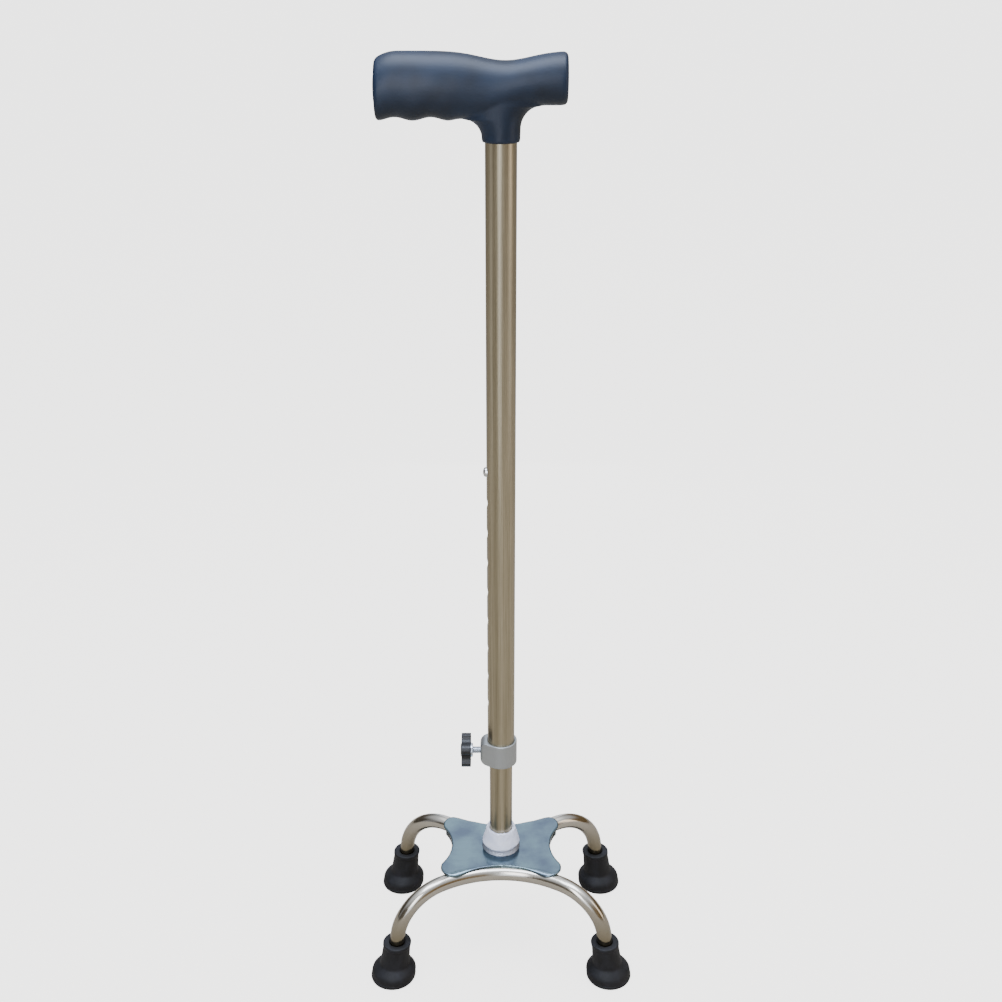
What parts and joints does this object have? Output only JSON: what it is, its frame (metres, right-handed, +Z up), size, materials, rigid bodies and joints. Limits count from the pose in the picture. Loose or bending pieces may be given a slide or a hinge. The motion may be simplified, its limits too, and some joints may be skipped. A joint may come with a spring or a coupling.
{
  "type": "quad walking cane",
  "caption": "Height-adjustable walking cane with a derby grip, snap-button shaft, clamp collar and a low four-footed base.",
  "frame": {"origin": "on the floor at the centre of the four feet, under the shaft's axis", "axes": "+Z up along the shaft, +X forwards to the grip's short nose, +Y to the user's left"},
  "size_m": [0.2206, 0.1554, 0.737],
  "materials": {
    "grip_plastic": "dark slate-blue moulded grip, fine satin texture",
    "cap_plastic": "dark blue-black moulded disc",
    "shaft_steel": "satin brushed stainless, drawn along the tube",
    "collar_zinc": "die-cast zinc alloy, tumbled and clear-coated",
    "knob_plastic": "black moulded plastic",
    "zinc_plate": "bright zinc-plated steel",
    "nylon": "natural nylon",
    "button_steel": "nickel-plated steel",
    "spring_steel": "blued spring steel strip",
    "socket_metal": "bright galvanised ferrule with a fine grain",
    "weld": "plated weld bead",
    "plate_steel": "blue-grey plated stamped steel",
    "leg_steel": "bright plated bent steel tube",
    "tip_rubber": "black moulded rubber"
  },
  "bodies": {
    "base": {"inner_tube": "shaft_steel", "glide_bush": "nylon", "shaft_socket": "socket_metal", "socket_weld": "weld", "shaft_weld": "weld", "base_plate": "plate_steel", "left_leg_tube": "leg_steel", "right_leg_tube": "leg_steel", "leg_welds": "weld", "front_left_tip": "tip_rubber", "front_right_tip": "tip_rubber", "rear_left_tip": "tip_rubber", "rear_right_tip": "tip_rubber", "tip_washers": "zinc_plate", "button_spring": "spring_steel"},
    "upper": {"outer_tube": "shaft_steel", "handle_grip": "grip_plastic", "handle_end_cap": "cap_plastic", "clamp_collar": "collar_zinc"},
    "button": {"snap_button": "button_steel"},
    "pad": {"clamp_pad": "nylon"},
    "knob": {"knob": "knob_plastic", "knob_insert": "zinc_plate", "knob_screw": "zinc_plate"}
  },
  "joints": [
    {"name": "height_slide", "type": "slide", "parent": "base", "child": "upper", "axis": [0, 0, 1], "range_m": [0, 0.2032], "deforming": ["snap_button", "button_spring"]},
    {"name": "button_press", "type": "slide", "parent": "base", "child": "button", "axis": [1, 0, 0], "range_m": [0, 0.005], "stiffness_N_per_m": 1200, "springref_m": -0.002},
    {"name": "pad_slide", "type": "slide", "parent": "upper", "child": "pad", "axis": [-1, 0, 0], "range_m": [0, 0.003]},
    {"name": "knob_turn", "type": "hinge", "parent": "pad", "child": "knob", "pos_m": [-0.025, 0, 0.1865], "axis": [-1, 0, 0], "range_deg": [0, 1080]}
  ],
  "couplings": [
    {"joint": "knob_turn", "follows": "pad_slide", "rad_per_m": 6283.2}
  ]
}
